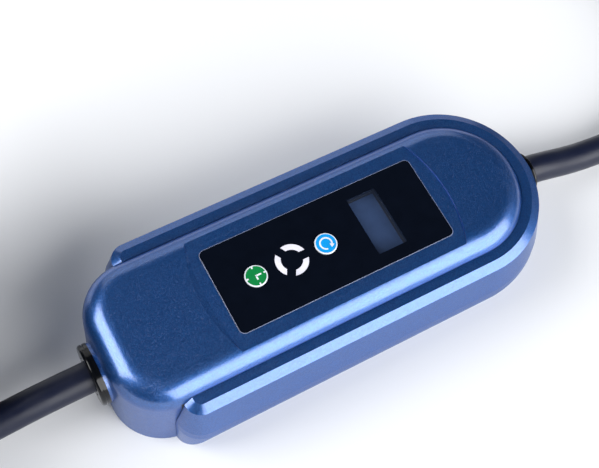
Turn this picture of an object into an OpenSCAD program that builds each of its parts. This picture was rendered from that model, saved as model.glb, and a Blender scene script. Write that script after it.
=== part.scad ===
// Portable EV charger: control box in the lead, with a mains plug and a vehicle connector.
// The box stands on z = 0, its long axis is X, the mains lead leaves at +X.

/* [Housing] */
// Length of the box from the nose to the round end
box_l = 192; // [176:1:220]
// Width across the skirt
box_w = 75; // [71:1:84]
// Wall thickness of both mouldings
wall = 2.5; // [2:0.1:3]
// Half-width of the nose at its foot
nose_half = 31.6; // [30.5:0.1:33]
// Plan radius of the nose corners at the foot
nose_r = 21.8; // [18:0.1:26]
// Length of the nose in front of the skirt
nose_l = 21; // [18:0.5:26]
// How far the dome's side leans in between foot and roll
draft = 0.9; // [0.3:0.1:1.5]
// Radius of the roll round the top of the dome
roll_r = 9.8; // [8:0.1:11]
// Thickness of the dome under its top
top_t = 4.2; // [3.8:0.1:5]

/* [Skirt] */
// Height of the flat ledge round the dome
ledge_h = 37.2; // [33:0.1:42]
// Height of the dome above the ledge
dome_rise = 5.6; // [4.8:0.1:7]
// Width of the chamfer at the top of the skirt
chamfer_w = 3.5; // [2:0.1:4.5]
// Height of the chamfer at the top of the skirt
chamfer_h = 2; // [1:0.1:3]
// How far the skirt's wall swells out below the chamfer
skirt_bulge = 3.9; // [2:0.1:4.5]
// Radius of the skirt wall's turn under the box
foot_r = 16.7; // [14:0.1:17.5]
// Plan radius of the skirt's two ends beside the nose
skirt_end_r = 6.5; // [5.5:0.1:7]
// Depth that the dome's rim sits below the ledge
rim_depth = 1.5; // [1:0.1:2]
// Thickness of the seal between the mouldings
seal_t = 1; // [0.6:0.1:1.5]
// Running gap where the dome stands in the ledge
seam = 0.15; // [0.1:0.05:0.3]

/* [Panel] */
// Length of the front panel
panel_l = 94; // [88:0.5:100]
// Width of the front panel
panel_w = 37.2; // [34:0.2:38]
// Thickness of the front panel
panel_t = 2; // [1.5:0.1:2.5]
// Corner radius of the front panel
panel_r = 2.5; // [1:0.1:4]
// Distance of the panel's middle from the box's middle
panel_x = 1.4; // [-2:0.1:4]
// Height of the panel above the pocket's floor
panel_proud = 0.2; // [0:0.05:0.5]
// Gap round the panel
panel_gap = 0.15; // [0.1:0.05:0.3]
// Width of the seat under the panel's edge
panel_seat = 2.5; // [2:0.1:3.5]
// Depth of the crescent pocket in the dome's top
pocket_depth = 0.6; // [0.3:0.1:0.9]
// Plan radius of the pocket's two ends
pocket_r = 60; // [45:1:90]
// Reach of the pocket past the panel's end on the nose side
pocket_nose = 7.7; // [6:0.1:10]
// Reach of the pocket past the panel's other end
pocket_round = 6.9; // [6:0.1:10]

/* [Display and lights] */
// Width of the display window along the box
window_w = 12.8; // [10:0.1:15]
// Length of the display window across the box
window_l = 26; // [22:0.2:29]
// Distance of the window's middle from the panel's middle
window_x = 21.9; // [18:0.1:30]
// Depth of the window's cover below the panel's face
window_sunk = 0.1; // [0.1:0.1:0.4]
// Depth of the screen below the panel's face
screen_deep = 4.4; // [3:0.1:5.5]
// Outer radius of the light ring
ring_r = 6.6; // [5.5:0.1:7]
// Radial width of the light ring
ring_w = 2.3; // [1.5:0.1:3]
// Width of the three gaps in the ring
ring_gap = 3.5; // [2:0.1:4.5]
// Distance of the ring's middle from the panel's middle
ring_x = -15.9; // [-18:0.1:-14]

/* [Buttons] */
// Radius of the button caps
button_r = 4.5; // [3.5:0.1:5]
// Height of the caps above the panel
button_rise = 0.7; // [0.5:0.1:1.2]
// Travel of a button
button_travel = 0.6; // [0.3:0.1:0.8]
// Gap round a button
button_gap = 0.25; // [0.15:0.05:0.4]
// Distance of the time button from the panel's middle
time_x = -31.4; // [-35:0.1:-29]
// Distance of the current button from the panel's middle
current_x = -1.05; // [-3:0.05:2]
// Space between the panel and the control board
stack_h = 6; // [5.6:0.1:7]

/* [Leads] */
// Diameter of both cables
cable_d = 12.5; // [10:0.1:13]
// Diameter of the vehicle gland's flange
vehicle_flange_d = 25; // [22:0.5:27]
// Thickness of the vehicle gland's flange
vehicle_flange_t = 3.5; // [2.5:0.1:4.5]
// Diameter of the vehicle gland's threaded shank
vehicle_shank_d = 19.6; // [17:0.1:20]
// Diameter of the mains gland's flange
mains_flange_d = 17.8; // [17:0.1:20]
// Thickness of the mains gland's flange
mains_flange_t = 1.6; // [1.4:0.1:2.5]
// Diameter of the mains gland's threaded shank
mains_shank_d = 15.6; // [15:0.1:16.4]
// Gap between a cable and what it passes through
cable_gap = 0.15; // [0.1:0.05:0.3]

/* [Boards and fasteners] */
// Length of the control board
control_l = 100; // [97:1:106]
// Width of the control board
control_w = 38.4; // [37:0.2:38.8]
// Length of the power board
power_l = 124; // [118:1:128]
// Width of the power board
power_w = 38; // [36:0.5:40]
// Thickness of both boards
board_t = 1.6; // [1:0.1:2]
// Height of the power board's posts
post_h = 5; // [4:0.5:7]
// Diameter of the case and power board screws
screw_d = 3; // [2.5:0.1:3.2]
// Gap round a screw
screw_gap = 0.1; // [0.05:0.05:0.2]
// Distance of the case screws from the middle line
case_screw_y = 22.9; // [22.7:0.1:23.2]
// Distance of the outer case screws from the tub's middle screws
case_screw_step = 52; // [46:1:56]
// Height where the pillars of tray and cover meet
pillar_meet = 16; // [12:0.5:20]

/* [Plug and connector] */
// Diameter of the plug's face
plug_d = 38; // [36:0.5:40]
// Length of the plug's body
plug_l = 30; // [26:0.5:36]
// Length of the tapered sleeve behind the plug
plug_sleeve_l = 26; // [20:0.5:34]
// Distance between the plug's pins
pin_spacing = 19; // [19:0.1:19.2]
// Diameter of the plug's pins
pin_d = 4.8; // [4.7:0.05:4.9]
// Length of the plug's pins
pin_l = 19; // [18.5:0.1:19.5]
// Outer diameter of the connector's nose
nose_d = 55; // [52:0.5:58]
// Length of the connector's nose
conn_nose_l = 36; // [30:0.5:42]
// Largest diameter of the connector's shell
shell_d = 62; // [60:0.5:68]
// Diameter of the connector's grip
grip_d = 38; // [34:0.5:42]
// Length of the connector's shell
shell_l = 128; // [115:1:140]
// Length of the connector's rear boot
boot_l = 34; // [26:0.5:42]

/* [Hidden] */
$fn = 64;

// Small overlap for cuts that run past a face
eps = 1;
// Smaller overlap that joins two touching solids of one piece
bond = 0.01;
// Plan places along the box
nose_x = -box_l / 2;
end_x = box_l / 2;
skirt_x = nose_x + nose_l;
seal_x = skirt_x - seal_t;
skirt_half = box_w / 2;
// Heights of the skirt's wall, the dome and the joint between the mouldings
skirt_h = ledge_h - chamfer_h;
cover_h = ledge_h + dome_rise;
rim_z = ledge_h - rim_depth;
// Skirt's profile from its widest line: top of the wall, middle of the foot's turn and where the two meet
skirt_top = [-skirt_bulge, skirt_h];
foot_at = [-foot_r, foot_r];
foot_reach = skirt_top - foot_at;
foot_turn = atan2(foot_reach[1], foot_reach[0]) - acos(foot_r / norm(foot_reach));
foot_meet = foot_at + foot_r * [cos(foot_turn), sin(foot_turn)];
rebate_z = rim_z - seal_t;
// Heights of the panel and what lies under it
pocket_z = cover_h - pocket_depth;
panel_z = pocket_z + panel_proud;
panel_low = panel_z - panel_t;
ceiling_z = cover_h - top_t;
control_top = panel_low - stack_h;
floor_z = wall;
power_low = floor_z + post_h;
power_top = power_low + board_t;
// The dome at the round end is as far in from the skirt as it is along the sides
dome_end = end_x - (skirt_half - nose_half);
// Screws: clearance, head and pillar sizes
screw_r = screw_d / 2;
hole_r = screw_r + screw_gap;
head_r = screw_d * 0.95;
head_h = screw_d * 0.6;
pillar_r = screw_r + 1.7;
case_screw_x0 = -9;
case_screw_bite = 8;
boss_root = 1;
board_screw_d = 2.5;
board_boss_r = 2.4;
board_hole_inset = 3;
tray_hole_inset = 4;
// Buttons: flange under the panel and stem into the switch
flange_rim = 1;
button_flange_t = 0.8;
button_seat = 0.1;
stem_r = 1.6;
stem_gap = 0.3;
stem_bite = 0.9;
switch_w = 7;
switch_h = 3.4;
// Cables, glands and what they meet inside
cable_r = cable_d / 2;
bore_r = cable_r + cable_gap;
boss_edge = 0.3;
boss_in = 5;
boss_out = 0.4;
gland_face = end_x + boss_out;
shank_l = boss_in + boss_out + 8;
nut_t = 5;
nut_wall = 3;
// The gland's nut just clears the roof of the tub
nut_gap = 0.4;
gland_z = rebate_z - wall - nut_gap - nut_wall - vehicle_shank_d / 2;
jacket_end = end_x - 17;
core_r = 1.6;
core_step = 3.8;
pilot_r = 0.9;
pilot_up = 4;
terminal_h = gland_z + 6 - power_top;
terminal_d = 10;
terminal_x = power_l / 2 - 8;
// Main parts on the power board
part_gap = 0.6;
relay_w = 13;
relay_y = relay_w / 2 + 1;
sensor_x = 4;
sensor_r = 12;
sensor_bore = 5.5;
sensor_h = 9;
supply_l = 22;
supply_x = supply_l / 2 + sensor_x + sensor_r + 5;
// Sides of a cable's tube and its two routes
tube_sides = 12;
mains_route = [[79, 0, 19], [90, 0, 19], [103, 0, 19], [112, -0.5, 17], [124, -1.2, 13.2], [139, -1.8, 9.8],
    [154, -1.8, 8], [167, 0, 7.5], [182, 3.4, 7.6], [196, 9.6, 8.4], [208, 18.6, 10.4], [216.4, 29, 13.4],
    [221, 39, 16.4], [223.4, 48.6, 18.4], [224, 56, 19], [224, 62, 19]];
vehicle_route = [[-79, 0, 19], [-90, 0, 19], [-100, 0, 19], [-112, 0, 18.8], [-124, 0, 18.1], [-136, 0, 16.6],
    [-148, 0, 14.8], [-160, 0, 11.4], [-172, 0, 8.6], [-184, 0, 7]];
end_route = [[-196, 0, 50], [-212, 0, 54.4], [-232, 0, 56.3], [-260, 0, 56.3], [-288, 0, 56.3],
    [-314, 0, 56.3], [-335, 0, 56.5], [-356, 4.7, 57], [-373.3, 17.9, 57.8], [-383.3, 37.1, 58.8],
    [-384.2, 58.7, 60], [-376, 78.7, 61.4], [-360, 93.3, 63.1], [-340, 100, 65], [-320, 100, 67]];
// Hank of folded cable: two turns wide, four turns high
hank_x0 = -185;
hank_run = 150;
hank_y = 50;
hank_fold = 43.75;
hank_h = 4 * cable_d;
// Plug: frame at the cable's end, lying along +Y
plug_at = mains_route[len(mains_route) - 1];
plug_face_t = 3;
plug_edge = 3;
clip_w = 6;
clip_t = 1;
clip_l = 18;
pin_root_r = pin_d / 2 - 0.2;
pin_root_l = 12;
// Connector: frame at the cable's end, pointing along the last stretch of the route
conn_at = end_route[len(end_route) - 1];
conn_from = end_route[len(end_route) - 2];
conn_tilt = atan2(conn_at[2] - conn_from[2], conn_at[0] - conn_from[0]);
insert_rear = 19.5;
insert_gap = 0.2;
nose_flat = 21.5;
contact_wall = 0.7;
contact_deep = 26;
contact_set_back = 4;
power_pin = 6;
pilot_pin = 3;
// Contact places and pin sizes round the middle earth contact, flat side up
contacts = [[0, 0, power_pin], [0, 15.5, power_pin], [0, -15.5, power_pin], [13, 8, power_pin],
    [13, -8, power_pin], [-11.5, 8.2, pilot_pin], [-11.5, -8.2, pilot_pin]];

// Helpers for plan outlines, sweeps and small blocks

// Sweeps a half-profile round a plan with two corners at low x and a half circle at high x.
// The profile lies at x <= 0, with x = 0 on the plan's outline, and is half_w deep or more.
module plan_sweep(x0, x1, half_w, corner_r, height) {
    left = x0 + corner_r;
    right = x1 - half_w;
    translate([left, 0, 0]) rotate([90, 0, 90]) linear_extrude(right - left)
        for (side = [0, 1]) mirror([side, 0]) intersection() {
            translate([half_w, 0]) children();
            square([half_w, height]);
        }
    translate([right, 0, 0]) rotate([0, 0, -90]) rotate_extrude(angle = 180) intersection() {
        translate([half_w, 0]) children();
        square([half_w, height]);
    }
    for (side = [0, 1]) mirror([0, side, 0]) translate([left, half_w - corner_r, 0])
        rotate([0, 0, 90]) rotate_extrude(angle = 90) intersection() {
            translate([corner_r, 0]) children();
            square([corner_r, height]);
        }
    translate([left, half_w - corner_r, 0]) rotate([90, 0, 0]) linear_extrude(2 * (half_w - corner_r))
        mirror([1, 0]) intersection() {
            translate([corner_r, 0]) children();
            square([corner_r, height]);
        }
}

// Half-profile of the dome: leaning side, quarter-round roll and flat top
module dome_profile(top, roll, deep) {
    polygon([[-deep, 0], [0, 0], [-draft, top - roll], [-draft - roll, top - roll], [-draft - roll, top],
        [-deep, top]]);
    translate([-draft - roll, top - roll]) circle(roll);
}

// The dome and nose as one solid, grown outwards by grow
module dome_solid(grow = 0) {
    plan_sweep(nose_x - grow, dome_end + grow, nose_half + grow, nose_r + grow, cover_h + grow)
        dome_profile(cover_h + grow, roll_r + grow, nose_half + grow);
}

// The room inside the dome and nose, above the nose's floor
module dome_room() {
    translate([0, 0, floor_z])
        plan_sweep(nose_x + wall, dome_end - wall, nose_half - wall, nose_r - wall, ceiling_z - floor_z)
            dome_profile(ceiling_z - floor_z, roll_r - wall, nose_half - wall);
}

// Half-profile of the skirt: upright wall, chamfer and flat ledge
module skirt_profile() {
    deep = skirt_half + skirt_bulge;
    polygon([[-deep, 0], [-foot_r, 0], foot_at, foot_meet, skirt_top, [skirt_top[0] - chamfer_w, ledge_h],
        [-deep, ledge_h]]);
    translate(foot_at) circle(foot_r);
}

// The same without the turn under the box, for the skirt's two ends
module skirt_end_profile() {
    deep = skirt_half + skirt_bulge;
    polygon([[-deep, 0], [0, 0], [0, foot_r], foot_meet, skirt_top, [skirt_top[0] - chamfer_w, ledge_h],
        [-deep, ledge_h]]);
}

// The tub's outside: the swollen skirt, with ends that round off beside the nose
module tray_solid() {
    long_x = nose_x - box_w;
    intersection() {
        plan_sweep(long_x, end_x + skirt_bulge, skirt_half + skirt_bulge, skirt_half, ledge_h) skirt_profile();
        plan_sweep(skirt_x - skirt_bulge, end_x + skirt_bulge + bond, skirt_half + skirt_bulge + bond,
            skirt_end_r + skirt_bulge, ledge_h) skirt_end_profile();
    }
}

// Rectangle with true round corners, centred
module round_rect(l, w, r) {
    square([l - 2 * r, w], center = true);
    square([l, w - 2 * r], center = true);
    for (x = [-1, 1], y = [-1, 1]) translate([x * (l / 2 - r), y * (w / 2 - r)]) circle(r);
}

// Block with true round upright edges, standing on z = 0
module round_block(l, w, h, r) {
    linear_extrude(h) round_rect(l, w, r);
}

// Cylinder along +X from the origin
module rod_x(r, l) {
    rotate([0, 90, 0]) cylinder(r = r, h = l);
}

// Three arcs of the light ring, grown by grow all round
module ring_arcs(grow = 0) {
    difference() {
        circle(ring_r + grow);
        circle(ring_r - ring_w - grow);
        for (turn = [0, 120, 240]) rotate(turn) translate([0, -ring_gap / 2 + grow])
            square([ring_r + grow + eps, ring_gap - 2 * grow]);
    }
}

// Places of the six case screws
module at_case_screws() {
    for (step = [-1, 0, 1], side = [-1, 1])
        translate([case_screw_x0 + step * case_screw_step, side * case_screw_y, 0]) children();
}

// Places of the four screws of a board, given its size, middle and inset
module at_board_corners(l, w, x, inset) {
    for (sx = [-1, 1], sy = [-1, 1])
        translate([x + sx * (l / 2 - inset), sy * (w / 2 - inset), 0]) children();
}

// Pan-head screw with its shank along +Z and the head's underside at z = 0
module screw(d, length) {
    translate([0, 0, -0.6 * d]) cylinder(r = 0.95 * d, h = 0.6 * d);
    cylinder(r = d / 2, h = length);
}

// Housing

module base_tray() {
    color("#2a5488") difference() {
        union() {
            difference() {
                tray_solid();
                // Room inside the tub
                translate([0, 0, floor_z]) plan_sweep(skirt_x + wall, end_x - wall, skirt_half - wall,
                    skirt_end_r - wall, rebate_z - wall - floor_z) room_profile();
                // Clearance for the nose between the skirt's ends
                intersection() {
                    dome_solid(seam);
                    translate([nose_x - eps, -skirt_half, -eps]) cube([nose_l + eps, box_w, cover_h]);
                }
                // Rebate and opening for the dome
                intersection() {
                    dome_solid(seam);
                    translate([nose_x - eps, -skirt_half, rebate_z])
                        cube([box_l + 2 * eps, box_w, cover_h]);
                }
                tray_mouth();
            }
            // Flat boss for the gland on the round end
            intersection() {
                translate([end_x - boss_in, 0, gland_z])
                    rod_x(mains_flange_d / 2 - boss_edge, boss_in + skirt_bulge + boss_out);
                translate([0, -skirt_half, 0]) cube([box_l, box_w, rebate_z]);
            }
            at_case_screws() translate([0, 0, floor_z - bond])
                cylinder(r = pillar_r, h = pillar_meet - floor_z + bond);
            at_board_corners(power_l, power_w, power_x(), tray_hole_inset)
                cylinder(r = pillar_r, h = power_low);
        }
        at_case_screws() {
            translate([0, 0, -eps]) cylinder(r = hole_r, h = pillar_meet + 2 * eps);
            translate([0, 0, -eps]) cylinder(r = head_r + screw_gap, h = head_h + eps);
        }
        at_board_corners(power_l, power_w, power_x(), tray_hole_inset)
            translate([0, 0, wall]) cylinder(r = hole_r, h = power_low);
        translate([end_x - boss_in - eps, 0, gland_z])
            rod_x(mains_shank_d / 2 + screw_gap, boss_in + skirt_bulge + boss_out + 2 * eps);
    }
}

// Half-profile of the room in the tub, cut off over the foot's turn
module room_profile() {
    cut = 2 * wall;
    polygon([[-skirt_half, 0], [-cut, 0], [0, cut], [0, rebate_z], [-skirt_half, rebate_z]]);
}

// Way into the tub from above and from the nose
module tray_mouth() {
    mouth_half = nose_half - 2 * wall;
    mouth_end = dome_end - 2 * wall;
    translate([skirt_x - eps, -mouth_half, floor_z])
        cube([mouth_end - mouth_half - skirt_x + eps, 2 * mouth_half, ledge_h]);
    translate([mouth_end - mouth_half, 0, floor_z]) cylinder(r = mouth_half, h = ledge_h);
}

// Middle of the power board, level with the middle case screws
function power_x() = case_screw_x0 + 4;

// The space that the tub and the seal take from the dome
module tray_side(x, z) {
    translate([x, -skirt_half, -eps]) cube([box_l, box_w, z + eps]);
}

module dome_shell() {
    difference() {
        dome_solid();
        dome_room();
    }
}

module top_cover() {
    color("#2a5488") difference() {
        union() {
            difference() {
                dome_shell();
                tray_side(seal_x, rim_z);
                pocket();
                translate([nose_x - eps, 0, gland_z]) rod_x(vehicle_shank_d / 2 + screw_gap, wall + 2 * eps);
            }
            nose_boss();
            cover_bosses();
        }
        // Seat for the panel and the way through for what lies under it
        translate([panel_x, 0, panel_low]) round_block(panel_l + 2 * panel_gap, panel_w + 2 * panel_gap,
            panel_t + eps, panel_r + panel_gap);
        translate([panel_x, 0, ceiling_z - eps]) round_block(panel_l - 2 * panel_seat,
            panel_w - 2 * panel_seat, top_t + eps, panel_r);
    }
}

// Shallow pocket in the top, with an arc past each end of the panel
module pocket() {
    length = panel_l + pocket_nose + pocket_round;
    low = panel_x - panel_l / 2 - pocket_nose;
    translate([0, 0, pocket_z]) linear_extrude(pocket_depth + eps) intersection() {
        translate([low + pocket_r, 0]) circle(pocket_r, $fn = 180);
        translate([low + length - pocket_r, 0]) circle(pocket_r, $fn = 180);
        translate([low, -skirt_half]) square([length, box_w]);
    }
}

// Flat boss for the gland on the nose
module nose_boss() {
    difference() {
        translate([nose_x - boss_out, 0, gland_z]) rod_x(vehicle_flange_d / 2 - boss_edge, boss_in + boss_out);
        translate([nose_x - boss_out - eps, 0, gland_z])
            rod_x(vehicle_shank_d / 2 + screw_gap, boss_in + boss_out + 2 * eps);
    }
}

// Bosses under the dome for the case screws and the control board
module cover_bosses() {
    difference() {
        at_case_screws() translate([0, 0, pillar_meet])
            cylinder(r = pillar_r, h = ceiling_z + boss_root - pillar_meet);
        at_case_screws() translate([0, 0, pillar_meet - eps])
            cylinder(r = hole_r, h = case_screw_bite + 2 * eps);
    }
    difference() {
        at_board_corners(control_l, control_w, panel_x, board_hole_inset)
            translate([0, 0, control_top]) cylinder(r = board_boss_r, h = ceiling_z + boss_root - control_top);
        at_board_corners(control_l, control_w, panel_x, board_hole_inset) translate([0, 0, control_top - eps])
            cylinder(r = board_screw_d / 2 + screw_gap, h = ceiling_z - control_top);
    }
}

// Seal that follows the cover's rim round the tub and across the nose
module housing_seal() {
    color("#15171b") intersection() {
        dome_shell();
        difference() {
            tray_side(seal_x, rim_z);
            tray_side(skirt_x, rebate_z);
        }
    }
}

module case_screws() {
    color("#8d9299") at_case_screws() translate([0, 0, head_h])
        screw(screw_d, pillar_meet - head_h + case_screw_bite);
}

// Panel and what shows in it

module front_panel() {
    color("#0b1119") translate([panel_x, 0, panel_low]) linear_extrude(panel_t) difference() {
        round_rect(panel_l, panel_w, panel_r);
        translate([window_x, 0]) square([window_w, window_l], center = true);
        translate([ring_x, 0]) ring_arcs(panel_gap);
        for (x = [time_x, current_x]) translate([x, 0]) circle(button_r + button_gap);
    }
}

// Clear cover in the panel's window
module display_lens() {
    lens_t = 1;
    color("#34415a") translate([panel_x + window_x, 0, panel_z - window_sunk - lens_t]) linear_extrude(lens_t)
        square([window_w - 2 * panel_gap, window_l - 2 * panel_gap], center = true);
}

// Screen on the control board, with a light shield that stands up to the panel
module display_module() {
    shield_t = 1.5;
    shield_gap = 0.1;
    color("#1a2230") translate([panel_x + window_x, 0, control_top]) difference() {
        round_block(window_w + 2 * shield_t, window_l + 2 * shield_t, stack_h - shield_gap, 0.6);
        translate([0, 0, stack_h + panel_t - screen_deep]) linear_extrude(stack_h)
            square([window_w, window_l], center = true);
    }
}

module light_ring() {
    carrier_t = 1;
    carrier_r = ring_r + 0.8;
    post_r = 0.9;
    color("#e8e6f0") translate([panel_x + ring_x, 0, 0]) {
        translate([0, 0, panel_low - carrier_t / 2]) linear_extrude(panel_t + carrier_t / 2) ring_arcs();
        translate([0, 0, panel_low - carrier_t]) cylinder(r = carrier_r, h = carrier_t);
        for (turn = [60, 180, 300]) rotate(turn) translate([ring_r - ring_w / 2, 0, control_top])
            cylinder(r = post_r, h = stack_h - carrier_t / 2);
    }
}

// Button cap with a domed edge, a flange under the panel and a stem into its switch
module button(x) {
    edge = 0.4;
    top = panel_z + button_rise;
    flange_top = panel_low - button_seat;
    flange_low = flange_top - button_flange_t;
    stem_low = control_top + switch_h - stem_bite;
    translate([panel_x + x, 0, 0]) rotate_extrude() {
        translate([0, flange_top - bond]) square([button_r, top - edge - flange_top + bond]);
        translate([0, top - edge - bond]) square([button_r - edge, edge + bond]);
        intersection() {
            translate([button_r - edge, top - edge]) circle(edge);
            translate([0, flange_low]) square([button_r, top]);
        }
        translate([0, flange_low]) square([button_r + flange_rim, button_flange_t]);
        translate([0, stem_low]) square([stem_r, flange_top - stem_low]);
    }
}

module time_button() {
    color("#0f9440") button(time_x);
}

module current_button() {
    color("#12a5ee") button(current_x);
}

// Push switch on the control board, with the well that the button's stem enters
module push_switch(x) {
    well_floor = 0.6;
    translate([panel_x + x, 0, control_top]) difference() {
        round_block(switch_w, switch_w, switch_h, 0.5);
        translate([0, 0, well_floor]) cylinder(r = stem_r + stem_gap, h = switch_h);
    }
}

module time_switch() {
    color("#22252b") push_switch(time_x);
}

module current_switch() {
    color("#22252b") push_switch(current_x);
}

module ring_leds() {
    led_w = 2;
    led_h = 0.8;
    color("#f2efe2") translate([panel_x + ring_x, 0, control_top])
        for (turn = [0, 120, 240]) rotate(turn) translate([ring_r - ring_w / 2 - led_w / 2, -led_w / 2, 0])
            cube([led_w, led_w, led_h]);
}

module control_board() {
    color("#1d5c38") difference() {
        translate([panel_x, 0, control_top - board_t]) round_block(control_l, control_w, board_t, 2);
        at_board_corners(control_l, control_w, panel_x, board_hole_inset)
            translate([0, 0, control_top - board_t - eps])
                cylinder(r = board_screw_d / 2 + screw_gap, h = board_t + 2 * eps);
    }
}

module control_board_screws() {
    bite = 3.2;
    color("#8d9299") at_board_corners(control_l, control_w, panel_x, board_hole_inset)
        translate([0, 0, control_top - board_t]) screw(board_screw_d, board_t + bite);
}

// Power board and what stands on it

module power_board() {
    color("#1d5c38") difference() {
        translate([power_x(), 0, power_low]) round_block(power_l, power_w, board_t, 2);
        at_board_corners(power_l, power_w, power_x(), tray_hole_inset)
            translate([0, 0, power_low - eps]) cylinder(r = hole_r, h = board_t + 2 * eps);
    }
}

module power_board_screws() {
    color("#8d9299") at_board_corners(power_l, power_w, power_x(), tray_hole_inset)
        translate([0, 0, power_top]) mirror([0, 0, 1]) screw(screw_d, board_t + post_h - 1);
}

// Sealed relay case with a vent nub
module relay(y) {
    relay_l = 29;
    relay_h = 16;
    nub_in = 3;
    nub_r = 1.2;
    nub_h = 0.6;
    translate([power_x() - 26, y, power_top]) {
        round_block(relay_l, relay_w, relay_h, 0.8);
        translate([relay_l / 2 - nub_in, 0, relay_h - bond]) cylinder(r = nub_r, h = nub_h);
    }
}

module line_relay() {
    color("#2b2f36") relay(relay_y);
}

module neutral_relay() {
    color("#2b2f36") relay(-relay_y);
}

// Ring core of the leakage sensor, lying on the board
module leakage_sensor() {
    edge = 1.2;
    color("#2d4f9e") translate([power_x() + sensor_x, 0, power_top]) rotate_extrude() {
        translate([sensor_bore, edge]) square([sensor_r - sensor_bore, sensor_h - 2 * edge]);
        translate([sensor_bore + edge, 0]) square([sensor_r - sensor_bore - 2 * edge, sensor_h]);
        for (r = [sensor_bore + edge, sensor_r - edge], z = [edge, sensor_h - edge])
            translate([r, z]) circle(edge);
    }
}

// Copper links that carry line and neutral through the ring core
module sensor_links() {
    link_r = 1;
    rise = sensor_h + 1.5;
    out = sensor_r + 2;
    color("#b5683a") for (side = [-1, 1]) translate([power_x() + sensor_x, side * 2.2, power_top]) {
        cylinder(r = link_r, h = rise);
        translate([out, 0, 0]) cylinder(r = link_r, h = rise);
        translate([0, 0, rise]) rod_x(link_r, out);
        for (x = [0, out]) translate([x, 0, rise]) sphere(link_r);
    }
}

module supply_module() {
    supply_w = 18;
    supply_h = 14;
    color("#1b1d22") translate([power_x() + supply_x, supply_w / 2 - 1, power_top])
        round_block(supply_l, supply_w, supply_h, 1);
}

module filter_capacitor() {
    filter_l = 18;
    filter_w = 8.5;
    filter_h = 15;
    filter_x = supply_x + (supply_l - filter_l) / 2;
    filter_y = -power_w / 2 + 2.1 + filter_w / 2;
    color("#c9a227") translate([power_x() + filter_x, filter_y, power_top])
        round_block(filter_l, filter_w, filter_h, 1);
}

module bulk_capacitor() {
    can_r = 3.2;
    can_h = 14;
    can_y = -1.4 - can_r;
    color("#2a2d4f") translate([power_x() + supply_x, can_y, power_top]) cylinder(r = can_r, h = can_h);
}

module surge_disc() {
    disc_r = 4.5;
    disc_t = 3;
    color("#2f63b0") translate([power_x() + 20, -13, power_top + disc_r]) rotate([90, 0, 0])
        cylinder(r = disc_r, h = disc_t, center = true);
}

// Terminal block whose entries face along +X
module terminals(width) {
    driver_r = 1.6;
    driver_deep = 1;
    difference() {
        translate([-terminal_d, -width / 2, 0]) cube([terminal_d, width, terminal_h]);
        for (step = [-1, 0, 1]) {
            translate([-terminal_d / 2, step * core_step, gland_z - power_top])
                rod_x(core_r + cable_gap, terminal_d);
            translate([-terminal_d * 0.7, step * core_step, terminal_h - driver_deep])
                cylinder(r = driver_r, h = driver_deep + eps);
        }
        translate([-terminal_d / 2, 0, gland_z + pilot_up - power_top])
            rod_x(pilot_r + cable_gap, terminal_d);
    }
}

module mains_terminals() {
    color("#2f7d4f") translate([power_x() + terminal_x, 0, power_top]) terminals(16);
}

module vehicle_terminals() {
    color("#2f7d4f") translate([power_x() - terminal_x, 0, power_top]) mirror([1, 0, 0]) terminals(16);
}

// Plug-and-socket header that joins the two boards
module board_header() {
    header_l = 12;
    header_w = 3.6;
    from_screw = 5.6;
    low_x = panel_x - control_l / 2 + board_hole_inset + from_screw;
    color("#23262c") translate([low_x, relay_y + relay_w / 2 + part_gap, power_top])
        cube([header_l, header_w, control_top - board_t - power_top]);
}

// Glands, nuts and cable cores

// Gland with its flange outwards along +X and its shank inwards, set out past the nose's distance
module gland(flange_r, flange_t, shank_r, set_out) {
    shank = shank_l + set_out;
    edge = flange_t / 3;
    groove = 0.5;
    lip = 1;
    translate([gland_face + set_out, 0, gland_z]) rotate([0, 90, 0]) rotate_extrude() difference() {
        union() {
            square([flange_r, flange_t - edge]);
            square([flange_r - edge, flange_t]);
            translate([flange_r - edge, flange_t - edge]) circle(edge);
            translate([0, -shank]) square([shank_r, shank + bond]);
        }
        translate([-eps, -shank - eps]) square([bore_r + eps, shank + flange_t + 2 * eps]);
        translate([flange_r - groove, flange_t - edge - 2 * groove]) square([groove + eps, groove]);
        translate([bore_r + lip, flange_t - groove]) square([groove, groove + eps]);
    }
}

// Six-sided nut against the inner face of a gland boss
module gland_nut(shank_r) {
    translate([end_x - boss_in - nut_t, 0, gland_z]) difference() {
        rotate([0, 90, 0]) cylinder(r = shank_r + nut_wall, h = nut_t, $fn = 6);
        translate([-eps, 0, 0]) rod_x(shank_r + screw_gap, nut_t + 2 * eps);
    }
}

module mains_gland() {
    color("#0d0f14") gland(mains_flange_d / 2, mains_flange_t, mains_shank_d / 2, skirt_bulge);
}

module mains_gland_nut() {
    color("#15171c") gland_nut(mains_shank_d / 2);
}

module vehicle_gland() {
    color("#0d0f14") mirror([1, 0, 0]) gland(vehicle_flange_d / 2, vehicle_flange_t, vehicle_shank_d / 2, 0);
}

module vehicle_gland_nut() {
    color("#15171c") mirror([1, 0, 0]) gland_nut(vehicle_shank_d / 2);
}

// Insulated cores from the cable's end into the terminals
module mains_cores() {
    start = power_x() + terminal_x - terminal_d / 2 + 0.5;
    color("#7a4a2a") for (step = [-1, 0, 1]) translate([start, step * core_step, gland_z])
        rod_x(core_r, jacket_end - start);
}

module vehicle_cores() {
    start = power_x() - terminal_x + terminal_d / 2 - 0.5;
    color("#7a4a2a") mirror([1, 0, 0]) {
        for (step = [-1, 0, 1]) translate([-start, step * core_step, gland_z])
            rod_x(core_r, jacket_end + start);
        translate([-start, 0, gland_z + pilot_up]) rod_x(pilot_r, jacket_end + start);
    }
}

// Cables

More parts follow.
